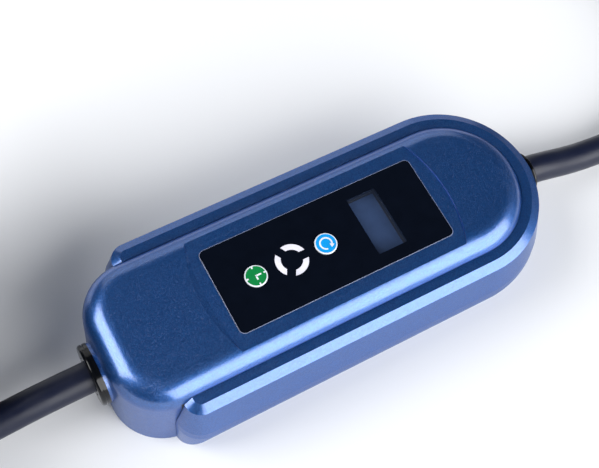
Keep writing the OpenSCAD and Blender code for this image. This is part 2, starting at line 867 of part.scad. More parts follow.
// Tube swept along a route, with a ring at each point square to the route there
function unit(v) = v / norm(v);
function along(route, i) = unit(route[min(i + 1, len(route) - 1)] - route[max(i - 1, 0)]);
function sideways(t) = unit(cross([0, 0, 1], t));
function ring_at(route, i, r) = let (t = along(route, i), s = sideways(t), u = cross(t, s))
    [for (k = [0:tube_sides - 1]) let (a = 360 * (k + 0.5) / tube_sides)
        route[i] + r * (cos(a) * s + sin(a) * u)];

module tube(route, r) {
    n = len(route);
    points = [for (i = [0:n - 1]) each ring_at(route, i, r)];
    sides = [for (i = [0:n - 2], k = [0:tube_sides - 1]) let (next = (k + 1) % tube_sides)
        [i * tube_sides + k, i * tube_sides + next, (i + 1) * tube_sides + next, (i + 1) * tube_sides + k]];
    start = [for (k = [tube_sides - 1:-1:0]) k];
    finish = [for (k = [0:tube_sides - 1]) (n - 1) * tube_sides + k];
    polyhedron(points, concat([start], [for (face = sides) face], [finish]));
}

module mains_cable() {
    color("#14171f") tube(mains_route, cable_r);
}

module vehicle_cable() {
    color("#14171f") tube(vehicle_route, cable_r);
}

module vehicle_cable_end() {
    color("#14171f") tube(end_route, cable_r);
}

// Stadium outline of the hank at a distance from its middle line
module hank_outline(r) {
    for (x = [hank_x0, hank_x0 - hank_run]) translate([x, hank_y]) circle(r);
    translate([hank_x0 - hank_run, hank_y - r]) square([hank_run, 2 * r]);
}

module vehicle_hank() {
    color("#14171f") linear_extrude(hank_h) difference() {
        hank_outline(hank_fold + cable_d);
        hank_outline(hank_fold - cable_d);
    }
}

// Mains plug: frame with its axis along +Z of the local frame, laid along +Y
module at_plug() {
    translate(plug_at) rotate([-90, 0, 0]) children();
}

// Moulded plug: ringed sleeve, sloping shoulder, round body with two guide slots and two clip seats
module plug_body() {
    body_r = plug_d / 2;
    neck_r = cable_r + 2.2;
    sleeve_flare = 2.4;
    shoulder_l = 5;
    rings = 4;
    ring_step = plug_sleeve_l / (rings + 2);
    ring_depth = sleeve_flare;
    slot_w = 7;
    slot_d = 3;
    top = plug_sleeve_l + plug_l;
    low = plug_sleeve_l + shoulder_l;
    color("#14161b") at_plug() difference() {
        rotate_extrude() difference() {
            union() {
                polygon([[0, 0], [neck_r, 0], [neck_r + sleeve_flare, plug_sleeve_l],
                    [body_r - plug_edge, low], [body_r - plug_edge, top - plug_face_t], [0, top - plug_face_t]]);
                translate([0, low + plug_edge])
                    square([body_r, plug_l - plug_face_t - shoulder_l - plug_edge]);
                translate([body_r - plug_edge, low + plug_edge]) circle(plug_edge);
            }
            for (i = [1:rings]) translate([neck_r + sleeve_flare / 4, i * ring_step])
                square([ring_depth, ring_step / 2.4]);
        }
        for (side = [-1, 1]) {
            translate([side * (body_r - slot_d / 2 + eps / 2), 0, top - plug_face_t])
                cube([slot_d + eps, slot_w, 2 * clip_l], center = true);
            translate([0, side * body_r, top - plug_face_t])
                cube([clip_w + 2 * screw_gap, 2 * clip_t, 2 * clip_l], center = true);
            translate([side * pin_spacing / 2, 0, top - pin_root_l])
                cylinder(r = pin_root_r + screw_gap, h = plug_l);
        }
    }
}

module plug_face() {
    color("#1b1e24") at_plug() translate([0, 0, plug_sleeve_l + plug_l - plug_face_t]) difference() {
        cylinder(r = plug_d / 2 - plug_edge - clip_t, h = plug_face_t);
        for (side = [-1, 1]) translate([side * pin_spacing / 2, 0, -eps])
            cylinder(r = pin_root_r + screw_gap, h = plug_face_t + 2 * eps);
    }
}

// Pins with a slimmer root in the moulding and a round tip
module plug_pins() {
    color("#b9bcc2") at_plug() for (side = [-1, 1])
        translate([side * pin_spacing / 2, 0, plug_sleeve_l + plug_l]) {
            translate([0, 0, -pin_root_l]) cylinder(r = pin_root_r, h = pin_root_l);
            cylinder(r = pin_d / 2, h = pin_l - pin_d / 2);
            translate([0, 0, pin_l - pin_d / 2]) sphere(pin_d / 2);
        }
}

module plug_earth_clips() {
    color("#b9bcc2") at_plug() for (side = [-1, 1])
        translate([0, side * (plug_d / 2 - clip_t / 2), plug_sleeve_l + plug_l - plug_face_t - clip_l / 2])
            cube([clip_w, clip_t, clip_l], center = true);
}

// Vehicle connector: local frame with +Z along its axis, from the cable's end to the contacts

module at_connector() {
    translate(conn_at) rotate([0, 90 - conn_tilt, 0]) children();
}

module connector_boot() {
    rear_r = cable_r + 2;
    front_r = grip_d / 2 - 4;
    rings = 5;
    ring_step = boot_l / (rings + 1);
    color("#101218") at_connector() rotate_extrude() difference() {
        polygon([[0, 0], [rear_r, 0], [front_r, boot_l], [0, boot_l]]);
        for (i = [1:rings]) translate([rear_r - 0.4 + i * (front_r - rear_r) / (rings + 1), i * ring_step])
            square([6, ring_step / 2.4]);
    }
}

// Half-profile of the shell: slim grip, a shoulder of two arcs that swells to the collar, round front edge
module shell_profile() {
    collar_l = 22;
    edge = 3;
    r = shell_d / 2;
    g = grip_d / 2;
    rise = (r - g) / 2;
    // Two equal arcs that meet halfway up the shoulder
    sweep = 2.2 * rise;
    arc_r = (sweep * sweep + rise * rise) / (2 * rise);
    mid = shell_l - collar_l - sweep;
    difference() {
        union() {
            translate([0, edge]) square([g, mid - sweep - edge]);
            square([g - edge, edge]);
            translate([g - edge, edge]) circle(edge);
            translate([0, mid - sweep]) square([g + rise, sweep]);
            intersection() {
                translate([r - arc_r, mid + sweep]) circle(arc_r, $fn = 180);
                translate([0, mid]) square([r, sweep]);
            }
            translate([0, mid + sweep]) square([r, collar_l - edge]);
            translate([0, mid]) square([g + rise - edge, shell_l - mid]);
            translate([0, mid + sweep]) square([r - edge, collar_l]);
            translate([r - edge, shell_l - edge]) circle(edge);
        }
        translate([g + arc_r, mid - sweep]) circle(arc_r, $fn = 180);
        translate([g, -eps]) square([r, mid - sweep + eps]);
    }
}

module connector_shell() {
    color("#14161c") at_connector() translate([0, 0, boot_l]) difference() {
        rotate_extrude() shell_profile();
        // Socket for the insert
        translate([0, 0, shell_l - insert_rear - insert_gap])
            cylinder(r = nose_d / 2 + insert_gap, h = insert_rear + 2 * insert_gap + eps);
    }
}

// Nose with a flat on top and a stepped hole for each contact
module connector_insert() {
    nose_r2 = nose_d / 2;
    length = insert_rear + conn_nose_l;
    color("#1a1d24") at_connector() translate([0, 0, boot_l + shell_l - insert_rear]) difference() {
        linear_extrude(length) intersection() {
            circle(nose_r2);
            translate([-nose_flat, -nose_r2]) square([nose_flat + nose_r2, nose_d]);
        }
        for (c = contacts) translate([c[0], c[1], 0]) {
            translate([0, 0, length - contact_set_back - contact_deep])
                cylinder(r = contact_r(c) + insert_gap, h = contact_deep);
            translate([0, 0, length - contact_set_back - eps])
                cylinder(r = c[2] / 2 + 2 * insert_gap, h = contact_set_back + 2 * eps);
        }
    }
}

// Outer radius of a contact's tube
function contact_r(c) = c[2] / 2 + insert_gap + contact_wall;

module connector_contacts() {
    blind = 4;
    length = insert_rear + conn_nose_l;
    color("#c8b27a") at_connector() translate([0, 0, boot_l + shell_l - insert_rear]) for (c = contacts)
        translate([c[0], c[1], length - contact_set_back - contact_deep]) difference() {
            cylinder(r = contact_r(c), h = contact_deep);
            translate([0, 0, blind]) cylinder(r = c[2] / 2 + insert_gap / 4, h = contact_deep);
        }
}

base_tray();
top_cover();
housing_seal();
case_screws();
front_panel();
display_lens();
display_module();
light_ring();
time_button();
current_button();
time_switch();
current_switch();
ring_leds();
control_board();
control_board_screws();
power_board();
power_board_screws();
line_relay();
neutral_relay();
leakage_sensor();
sensor_links();
supply_module();
filter_capacitor();
bulk_capacitor();
surge_disc();
mains_terminals();
vehicle_terminals();
board_header();
mains_gland();
mains_gland_nut();
vehicle_gland();
vehicle_gland_nut();
mains_cores();
vehicle_cores();
mains_cable();
plug_body();
plug_face();
plug_pins();
plug_earth_clips();
vehicle_cable();
vehicle_hank();
vehicle_cable_end();
connector_shell();
connector_insert();
connector_contacts();
connector_boot();
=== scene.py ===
"""Portable EV charger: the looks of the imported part, in metres, in the part's own frame."""

import math

import bmesh
import bpy
from mathutils import Matrix, Vector


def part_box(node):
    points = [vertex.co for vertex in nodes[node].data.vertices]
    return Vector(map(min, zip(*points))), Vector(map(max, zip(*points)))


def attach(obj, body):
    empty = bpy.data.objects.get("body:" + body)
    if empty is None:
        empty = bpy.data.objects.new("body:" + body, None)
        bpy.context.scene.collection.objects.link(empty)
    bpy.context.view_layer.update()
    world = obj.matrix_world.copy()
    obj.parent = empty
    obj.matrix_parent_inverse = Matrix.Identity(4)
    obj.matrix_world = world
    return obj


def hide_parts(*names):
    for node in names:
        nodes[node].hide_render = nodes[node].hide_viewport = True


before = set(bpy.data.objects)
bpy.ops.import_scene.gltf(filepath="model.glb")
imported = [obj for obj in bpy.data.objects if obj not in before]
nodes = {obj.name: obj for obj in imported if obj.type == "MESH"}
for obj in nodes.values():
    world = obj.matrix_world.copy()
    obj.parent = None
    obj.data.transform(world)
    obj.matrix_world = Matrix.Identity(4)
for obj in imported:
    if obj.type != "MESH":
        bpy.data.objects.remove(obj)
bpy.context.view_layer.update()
scene = bpy.context.scene
MM = 0.001

# Camera: the photograph's viewing angle, fitted to the box's straight edges

FRAME_WIDTH_PX = 599
FOCAL_PX = 1105.9
SENSOR_MM = 36.0
CAMERA_AT = Vector((-0.1247, -0.1354, 0.4261))
CAMERA_LOOKS = Vector((0.2768, 0.3370, -0.8999)).normalized()
CAMERA_RIGHT = Vector((0.8737, -0.4782, 0.0897)).normalized()

camera_data = bpy.data.cameras.new("photo_camera")
camera_data.sensor_width = SENSOR_MM
camera_data.sensor_fit = "HORIZONTAL"
camera_data.lens = SENSOR_MM * FOCAL_PX / FRAME_WIDTH_PX
camera_data.clip_start = 0.01
camera = bpy.data.objects.new("photo_camera", camera_data)
scene.collection.objects.link(camera)
camera_up = CAMERA_RIGHT.cross(CAMERA_LOOKS)
camera.matrix_world = Matrix.Translation(CAMERA_AT) @ Matrix(
    (CAMERA_RIGHT, camera_up, -CAMERA_LOOKS)).transposed().to_4x4()
scene.camera = camera

# Sizes of the box that the pieces below share with the solids, in metres

PANEL_LOW, PANEL_HIGH = (Vector(corner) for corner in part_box("front_panel"))
PANEL_MID = (PANEL_LOW + PANEL_HIGH) / 2
PANEL_SIZE = PANEL_HIGH - PANEL_LOW
PANEL_TOP = PANEL_HIGH.z
WINDOW_LOW, WINDOW_HIGH = (Vector(corner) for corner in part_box("display_lens"))
WINDOW_MID = (WINDOW_LOW + WINDOW_HIGH) / 2
WINDOW_SIZE = WINDOW_HIGH - WINDOW_LOW
SCREEN_Z = 38.0 * MM
PANEL_CORNER = 2.5 * MM
CABLE_D = 12.5 * MM
CABLE_R = CABLE_D / 2

# Materials

# Colour sockets of a Mix node, which share their names with its other sockets
MIX_A, MIX_B, MIX_OUT = 6, 7, 2
# Nearly all of a noise texture lies between these values
NOISE_SPAN = {"From Min": 0.3, "From Max": 0.7}
# Share by which a moulding's shade and roughness wander
WANDER = 0.12
SHADE_PATCH_MM = 6
GRAINS_PER_PATCH = 12
GRAIN_STRENGTH = 0.6


def linear(hex_colour):
    """An sRGB hex colour as the linear RGBA that the shader takes."""
    parts = [int(hex_colour[i:i + 2], 16) / 255 for i in (1, 3, 5)]
    return [p / 12.92 if p <= 0.04045 else ((p + 0.055) / 1.055) ** 2.4 for p in parts] + [1.0]


def add_node(material, kind, inputs, **settings):
    """Adds a node: settings go on the node, and inputs are values or sockets to link, by name or index."""
    node = material.node_tree.nodes.new("ShaderNode" + kind)
    for name, value in settings.items():
        setattr(node, name, value)
    for name, value in inputs.items():
        if isinstance(value, bpy.types.NodeSocket):
            material.node_tree.links.new(value, node.inputs[name])
        else:
            node.inputs[name].default_value = value
    return node


def new_material(name, **sockets):
    """A material with these constants on its shader's sockets, the shader and the object coordinates."""
    material = bpy.data.materials.new(name)
    material.use_nodes = True
    shader = material.node_tree.nodes["Principled BSDF"]
    for socket, value in sockets.items():
        shader.inputs[socket.replace("_", " ")].default_value = value
    place = add_node(material, "TexCoord", {}).outputs["Object"]
    return material, shader, place


def grain(material, shader, place, size_mm, depth_mm, rough_low, rough_high):
    """Moulded grain: bumps of one size, with the roughness wandering between two values over them."""
    bumps = add_node(material, "TexNoise", {"Vector": place, "Scale": 1 / (size_mm * MM), "Detail": 3.0})
    bump = add_node(material, "Bump", {"Height": bumps.outputs["Fac"], "Distance": depth_mm * MM,
                                       "Strength": GRAIN_STRENGTH})
    patch_mm = GRAINS_PER_PATCH * size_mm
    patches = add_node(material, "TexNoise", {"Vector": place, "Scale": 1 / (patch_mm * MM), "Detail": 2.0})
    rough = add_node(material, "MapRange", {**NOISE_SPAN, "Value": patches.outputs["Fac"],
                                            "To Min": rough_low, "To Max": rough_high})
    links = material.node_tree.links
    links.new(bump.outputs["Normal"], shader.inputs["Normal"])
    links.new(rough.outputs["Result"], shader.inputs["Roughness"])


def plain_moulding(name, colour, rough, size_mm=0.4, depth_mm=0.01, **sockets):
    """A piece of one colour, with lighter and darker patches and a fine grain."""
    material, shader, place = new_material(name, **sockets)
    patches = add_node(material, "TexNoise", {"Vector": place, "Scale": 1 / (SHADE_PATCH_MM * MM),
                                              "Detail": 4.0})
    shade = add_node(material, "MapRange", {**NOISE_SPAN, "Value": patches.outputs["Fac"],
                                            "To Min": 1 - WANDER, "To Max": 1 + WANDER})
    tint = add_node(material, "Mix", {"Factor": 1.0, MIX_A: linear(colour), MIX_B: shade.outputs["Result"]},
                    data_type="RGBA", blend_type="MULTIPLY")
    material.node_tree.links.new(tint.outputs[MIX_OUT], shader.inputs["Base Color"])
    grain(material, shader, place, size_mm, depth_mm, rough * (1 - WANDER), rough * (1 + WANDER))
    return material


def satin_metallic_paint():
    """Blue base coat with aluminium flake under a satin lacquer: dark face on, pale where light glances."""
    material, shader, place = new_material(
        "satin_metallic_blue_paint", Metallic=0.85, Specular_IOR_Level=0.2, Specular_Tint=linear("#8fb4e6"),
        Coat_Weight=0.7, Coat_IOR=2.1, Coat_Roughness=0.2)
    # Real flake is about 0.05 mm; drawn at 0.4 mm, about a pixel, so that it shows
    flake = add_node(material, "TexVoronoi", {"Vector": place, "Scale": 1 / (0.4 * MM)})
    blue = add_node(material, "Mix", {"Factor": flake.outputs["Color"], MIX_A: linear("#084688"),
                                      MIX_B: linear("#145dab")}, data_type="RGBA")
    tilt = add_node(material, "Bump", {"Height": flake.outputs["Color"], "Distance": 0.06 * MM,
                                       "Strength": 1.0})
    # Orange peel of the sprayed lacquer, a few millimetres across
    peel = add_node(material, "TexNoise", {"Vector": place, "Scale": 1 / (4 * MM), "Detail": 2.0})
    rough = add_node(material, "MapRange", {**NOISE_SPAN, "Value": peel.outputs["Fac"],
                                            "To Min": 0.35, "To Max": 0.38})
    links = material.node_tree.links
    links.new(blue.outputs[MIX_OUT], shader.inputs["Base Color"])
    links.new(tilt.outputs["Normal"], shader.inputs["Normal"])
    links.new(tilt.outputs["Normal"], shader.inputs["Coat Normal"])
    links.new(rough.outputs["Result"], shader.inputs["Roughness"])
    return material


def cable_jacket():
    """Extruded PVC jacket: smooth bluish near-black with a faint mottle and a long soft highlight."""
    material, shader, place = new_material("extruded_pvc_jacket", Specular_IOR_Level=0.35)
    mottle = add_node(material, "TexNoise", {"Vector": place, "Scale": 1 / (3 * MM), "Detail": 5.0})
    shade = add_node(material, "Mix", {"Factor": mottle.outputs["Fac"], MIX_A: linear("#0d1226"),
                                       MIX_B: linear("#141a30")}, data_type="RGBA")
    material.node_tree.links.new(shade.outputs[MIX_OUT], shader.inputs["Base Color"])
    grain(material, shader, place, size_mm=0.8, depth_mm=0.015, rough_low=0.34, rough_high=0.44)
    return material


PAINT = satin_metallic_paint()
JACKET = cable_jacket()
# Printed polyester film: mirror-smooth black with a faint blue cast
PANEL_FILM = plain_moulding("printed_gloss_film", "#060a14", rough=0.1, size_mm=1.5, depth_mm=0.002,
                            Specular_IOR_Level=0.2)
# Cut edge of the film: a painted highlight, pale all round, for the line of light along the panel's rim
FILM_EDGE_HIGHLIGHT = plain_moulding("cut_film_edge_painted_highlight", "#9aaad0", rough=0.3)
# Clear polycarbonate window over the display: see-through, with a thin gloss
WINDOW_CLEAR = plain_moulding("clear_polycarbonate", "#2a3346", rough=0.08, size_mm=1.5, depth_mm=0.001,
                              Alpha=0.2)
# Liquid-crystal glass at the bottom of the window: flat grey-blue, unlit
SCREEN_GLASS = plain_moulding("unlit_display_glass", "#455e8c", rough=0.2, size_mm=1.5, depth_mm=0.002)
# Frosted acrylic light guide: milk white
LIGHT_GUIDE = plain_moulding("frosted_acrylic", "#dbdae6", rough=0.45)
# Clear-grey moulded acrylic of the buttons' bodies: dim and glossy round the printed faces
BUTTON_BODY = plain_moulding("smoked_acrylic", "#555b66", rough=0.25)
# Screen-printed ink on the buttons: flat, bright and slightly glossy
BUTTON_GREEN = plain_moulding("printed_green", "#09783a", rough=0.3)
BUTTON_BLUE = plain_moulding("printed_blue", "#0a93dc", rough=0.3)
ICON_WHITE = plain_moulding("printed_white", "#dde1e8", rough=0.35)
# Polished nylon of the glands: deep black with sharp reflections
GLAND_NYLON = plain_moulding("polished_black_nylon", "#08090d", rough=0.16, size_mm=1.0, depth_mm=0.004,
                             Specular_IOR_Level=0.3)
# Spark-eroded ABS: dark grey-black with a visible moulded grain
ABS_BLACK = plain_moulding("textured_black_abs", "#17191f", rough=0.5, size_mm=0.6, depth_mm=0.04)
# Over-moulded rubber: matt black
RUBBER = plain_moulding("matt_black_rubber", "#121318", rough=0.62, size_mm=0.5, depth_mm=0.03)
# Woven hook-and-loop strap: dull black pile
STRAP = plain_moulding("hook_and_loop_strap", "#191a20", rough=0.85, size_mm=0.5, depth_mm=0.15)
# Glass-fibre board under solder mask: dark green with a soft gloss
BOARD = plain_moulding("green_solder_mask", "#14532f", rough=0.35)
# Moulded polyamide terminals: dull mid-green
TERMINAL = plain_moulding("green_polyamide", "#2c7a4b", rough=0.45)
# Moulded capacitor box: smooth warm yellow
CAPACITOR = plain_moulding("yellow_box_resin", "#c99d22", rough=0.4)
# Dipped epoxy coating: semi-gloss blue
EPOXY_BLUE = plain_moulding("blue_epoxy", "#2a52a4", rough=0.4)
# Extruded insulation of the cores: satin brown
CORE_BROWN = plain_moulding("brown_core_insulation", "#6f4326", rough=0.45)
# Nickel plate: bright grey metal with a faint mottle
NICKEL = plain_moulding("nickel_plate", "#b9bcc2", rough=0.24, size_mm=0.3, depth_mm=0.006, Metallic=1.0)
# Copper alloy: warm pale metal
BRASS = plain_moulding("copper_alloy", "#c2a468", rough=0.28, size_mm=0.3, depth_mm=0.006, Metallic=1.0)

NODE_FINISH = {
    PAINT: ["base_tray", "top_cover"],
    PANEL_FILM: ["front_panel"],
    WINDOW_CLEAR: ["display_lens"],
    LIGHT_GUIDE: ["light_ring", "ring_leds"],
    BUTTON_BODY: ["time_button", "current_button"],
    GLAND_NYLON: ["mains_gland", "vehicle_gland", "mains_gland_nut", "vehicle_gland_nut"],
    ABS_BLACK: ["display_module", "time_switch", "current_switch", "line_relay", "neutral_relay",
                "supply_module", "bulk_capacitor", "board_header", "plug_face", "connector_shell",
                "connector_insert"],
    RUBBER: ["housing_seal", "plug_body", "connector_boot"],
    BOARD: ["control_board", "power_board"],
    TERMINAL: ["mains_terminals", "vehicle_terminals"],
    CAPACITOR: ["filter_capacitor"],
    EPOXY_BLUE: ["leakage_sensor", "surge_disc"],
    CORE_BROWN: ["mains_cores", "vehicle_cores"],
    NICKEL: ["case_screws", "control_board_screws", "power_board_screws", "plug_pins", "plug_earth_clips"],
    BRASS: ["sensor_links", "connector_contacts"],
}
for finish, names in NODE_FINISH.items():
    for name in names:
        nodes[name].data.materials.clear()
        nodes[name].data.materials.append(finish)

# Cords: both leads follow their solids' routes, given in millimetres

MAINS_ROUTE = [(79, 0, 19), (90, 0, 19), (103, 0, 19), (112, -0.5, 17), (124, -1.2, 13.2), (139, -1.8, 9.8),
               (154, -1.8, 8), (167, 0, 7.5), (182, 3.4, 7.6), (196, 9.6, 8.4), (208, 18.6, 10.4),
               (216.4, 29, 13.4), (221, 39, 16.4), (223.4, 48.6, 18.4), (224, 56, 19), (224, 62, 19)]
VEHICLE_ROUTE = [(-79, 0, 19), (-90, 0, 19), (-100, 0, 19), (-112, 0, 18.8), (-124, 0, 18.1),
                 (-136, 0, 16.6), (-148, 0, 14.8), (-160, 0, 11.4), (-172, 0, 8.6), (-184, 0, 7)]
END_ROUTE = [(-232, 0, 56.3), (-260, 0, 56.3), (-288, 0, 56.3), (-314, 0, 56.3), (-335, 0, 56.5),
             (-356, 4.7, 57), (-373.3, 17.9, 57.8), (-383.3, 37.1, 58.8), (-384.2, 58.7, 60),
             (-376, 78.7, 61.4), (-360, 93.3, 63.1), (-340, 100, 65), (-320, 100, 67)]
# Hank: folds round two centres, two turns wide and four turns high
HANK_RIGHT, HANK_LEFT, HANK_Y = -185.0, -335.0, 50.0
HANK_OUTER, HANK_INNER = 50.0, 37.5
HANK_STEP = 12.5
FOLD_POINTS = 12
RUN_POINTS = 6


def hank_points():
    """Centre line of the eight loops, from the front run's right end round to the start of the top run."""
    # Each loop's place in the stack: True on the outside, and its level
    loops = [(True, 0), (False, 0), (False, 1), (True, 1), (True, 2), (False, 2), (False, 3), (True, 3),
             (True, 4)]
    radius = [HANK_OUTER if outside else HANK_INNER for outside, level in loops]
    height = [CABLE_R / MM + HANK_STEP * level for outside, level in loops]
    # A loop moves to the next place in the right fold, later loops first: the stretch of the fold where
    # loops move, in millimetres from its start, and the share of that stretch that one move takes
    move_start, move_end, move_share = 13.0, 160.0, 0.476
    points = []
    for turn in range(len(loops) - 1):
        r, z = radius[turn], height[turn]
        for i in range(1, RUN_POINTS + 1):
            x = HANK_RIGHT + (HANK_LEFT - HANK_RIGHT) * i / RUN_POINTS
            points.append((x, HANK_Y - r, z))
        for i in range(1, FOLD_POINTS):
            a = math.pi * i / FOLD_POINTS
            points.append((HANK_LEFT - r * math.sin(a), HANK_Y - r * math.cos(a), z))
        order = len(loops) - 2 - turn
        start = move_start + (move_end - move_start) * (1 - move_share) * order / (len(loops) - 2)
        length = (move_end - move_start) * move_share
        # Places from the start of the right fold: below zero on the straight run back, then round the fold
        back = [HANK_LEFT + (HANK_RIGHT - HANK_LEFT) * i / (2 * RUN_POINTS) for i in range(2 * RUN_POINTS)]
        steps = [x - HANK_RIGHT for x in back]
        steps += [math.pi * HANK_OUTER * i / (2 * FOLD_POINTS) for i in range(2 * FOLD_POINTS + 1)]
        for s in steps:
            # Share of the move that is done here, eased at both ends
            t = min(max((s - start) / length, 0.0), 1.0)
            t = (1 - math.cos(math.pi * t)) / 2
            here = r + (radius[turn + 1] - r) * t
            rise = z + (height[turn + 1] - z) * t
            if s < 0:
                points.append((HANK_RIGHT + s, HANK_Y + here, rise))
            else:
                a = s / HANK_OUTER
                points.append((HANK_RIGHT + here * math.sin(a), HANK_Y + here * math.cos(a), rise))
    return points


def lead(name, route, body):
    """A round cable whose centre line runs smoothly through the route's points, given in millimetres."""
    data = bpy.data.curves.new(name, "CURVE")
    data.dimensions = "3D"
    data.bevel_depth = CABLE_R
    data.bevel_resolution = 8
    data.resolution_u = 4
    data.use_fill_caps = True
    spline = data.splines.new("BEZIER")
    spline.bezier_points.add(len(route) - 1)
    for point, place in zip(spline.bezier_points, route):
        point.co = Vector(place) * MM
        point.handle_left_type = point.handle_right_type = "AUTO"
    cable = bpy.data.objects.new(name, data)
    scene.collection.objects.link(cable)
    data.materials.append(JACKET)
    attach(cable, body)
    return cable


mains_lead = lead("mains_lead", MAINS_ROUTE, "housing")
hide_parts("mains_cable")
vehicle_lead = lead("vehicle_lead", VEHICLE_ROUTE + hank_points() + END_ROUTE, "housing")
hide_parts("vehicle_cable", "vehicle_hank", "vehicle_cable_end")

# The film's edge below is a pale band: a painted highlight along the panel's rim
# Pieces that the solids don't carry: printed faces, the film's edge, the pocket's ramp, the screen and ties

ROUND_STEPS = 72
ARC_STEP_DEG = 5
WELD_WITHIN = 0.001 * MM


def piece(name, bm, material, body):
    """Makes a bmesh a piece that rides on a body, in the finish given."""
    bmesh.ops.remove_doubles(bm, verts=bm.verts[:], dist=WELD_WITHIN)
    bmesh.ops.recalc_face_normals(bm, faces=bm.faces[:])
    mesh = bpy.data.meshes.new(name)
    bm.to_mesh(mesh)
    bm.free()
    mesh.materials.append(material)
    made = bpy.data.objects.new(name, mesh)
    scene.collection.objects.link(made)
    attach(made, body)


def raise_faces(bm, height):
    """Gives flat faces a thickness, upwards."""
    top = bmesh.ops.extrude_face_region(bm, geom=bm.faces[:])["geom"]
    bmesh.ops.translate(bm, verts=[v for v in top if isinstance(v, bmesh.types.BMVert)], vec=(0, 0, height))


def arc_band(bm, centre, middle_r, width, start, sweep):
    """Flat band of an arc: a radial edge spun about the centre, with the angles in degrees from +X."""
    out = Vector((math.cos(math.radians(start)), math.sin(math.radians(start)), 0))
    ends = [bm.verts.new(centre + out * (middle_r + side * width / 2)) for side in (-1, 1)]
    edge = bm.edges.new(ends)
    bmesh.ops.spin(bm, geom=[*ends, edge], cent=centre, axis=(0, 0, 1), angle=math.radians(sweep),
                   steps=round(sweep / ARC_STEP_DEG))


def turned_rim(bm, centre, profile):
    """Profile of radius and height pairs spun round the upright axis through the centre."""
    ends = [bm.verts.new(centre + Vector((r, 0, z))) for r, z in profile]
    edges = [bm.edges.new(pair) for pair in zip(ends, ends[1:])]
    bmesh.ops.spin(bm, geom=ends + edges, cent=centre, axis=(0, 0, 1), angle=2 * math.pi, steps=ROUND_STEPS,
                   use_merge=True)


def plate(bm, place, length, width):
    """Flat rectangle put in its place by a matrix."""
    made = bmesh.ops.create_grid(bm, x_segments=1, y_segments=1, size=0.5)["verts"]
    bmesh.ops.transform(bm, verts=made, matrix=place @ Matrix.Diagonal((length, width, 1, 1)))


def bar(bm, centre, length, width, turn):
    """Flat bar from the centre outwards, turned in degrees from +X."""
    turned = Matrix.Translation(centre) @ Matrix.Rotation(math.radians(turn), 4, "Z")
    plate(bm, turned @ Matrix.Translation((length / 2, 0, 0)), length, width)


PRINT_T = 0.04 * MM
FACE_R = 4.0 * MM
CAP_R = 4.5 * MM
RIM_TOP_R = 4.2 * MM
RIM_DROP = 0.22 * MM


def cap_centre(node):
    """Middle of a button's top."""
    low, high = (Vector(corner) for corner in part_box(node))
    return Vector(((low.x + high.x) / 2, (low.y + high.y) / 2, high.z))


def button_print(node, body, face_name, face_material):
    """Coloured face and white rim on a button's cap."""
    top = cap_centre(node)
    bm = bmesh.new()
    disc = bmesh.ops.create_circle(bm, cap_ends=True, segments=ROUND_STEPS, radius=FACE_R)["verts"]
    bmesh.ops.translate(bm, verts=disc, vec=top)
    raise_faces(bm, PRINT_T)
    piece(face_name + "_face", bm, face_material, body)
    bm = bmesh.new()
    turned_rim(bm, top, [(FACE_R, 0), (FACE_R, 2 * PRINT_T), (RIM_TOP_R, 2 * PRINT_T), (CAP_R, -RIM_DROP),
                         (CAP_R - PRINT_T, -2 * RIM_DROP), (RIM_TOP_R, -RIM_DROP), (FACE_R, 0)])
    piece(face_name + "_rim", bm, ICON_WHITE, body)
    return top + Vector((0, 0, PRINT_T))


# Clock: four ticks on the rim and two hands at three o'clock for a reader who has +X upwards
time_top = button_print("time_button", "time_key", "time", BUTTON_GREEN)
bm = bmesh.new()
stroke, tick_l = 0.62 * MM, 0.85 * MM
long_hand, short_hand = 2.5 * MM, 1.7 * MM
for turn in (0, 90, 180, 270):
    out = Matrix.Rotation(math.radians(turn), 3, "Z") @ Vector((FACE_R - tick_l, 0, 0))
    bar(bm, time_top + out, tick_l, stroke, turn)
bar(bm, time_top + Vector((-stroke / 2, 0, 0)), long_hand, stroke, 0)
bar(bm, time_top, short_hand, stroke, -90)
raise_faces(bm, PRINT_T)
piece("time_icon", bm, ICON_WHITE, "time_key")

# Circular arrow: an arc that stops short, with a head that points clockwise
current_top = button_print("current_button", "current_key", "current", BUTTON_BLUE)
bm = bmesh.new()
arrow_r, head_w, head_l = 2.35 * MM, 1.9 * MM, 1.5 * MM
arrow_at, arrow_sweep = -27.0, 290
arc_band(bm, current_top, arrow_r, stroke, arrow_at, arrow_sweep)
corners = [(arrow_r - head_w / 2, 0, 0), (arrow_r, -head_l, 0), (arrow_r + head_w / 2, 0, 0)]
head = [bm.verts.new(corner) for corner in corners]
bm.faces.new(head)
bmesh.ops.transform(bm, verts=head, matrix=Matrix.Translation(current_top)
                    @ Matrix.Rotation(math.radians(arrow_at), 4, "Z"))
raise_faces(bm, PRINT_T)
piece("current_icon", bm, ICON_WHITE, "current_key")

# Cut edge of the panel's film: a narrow band round the panel that slopes up inwards, pale all round as a
# painted highlight of the rim catching the light
EDGE_PROUD, EDGE_RISE = 0.03 * MM, 0.08 * MM
EDGE_T, EDGE_W = 0.04 * MM, 0.18 * MM
EDGE_SPREAD = 0.1 * MM


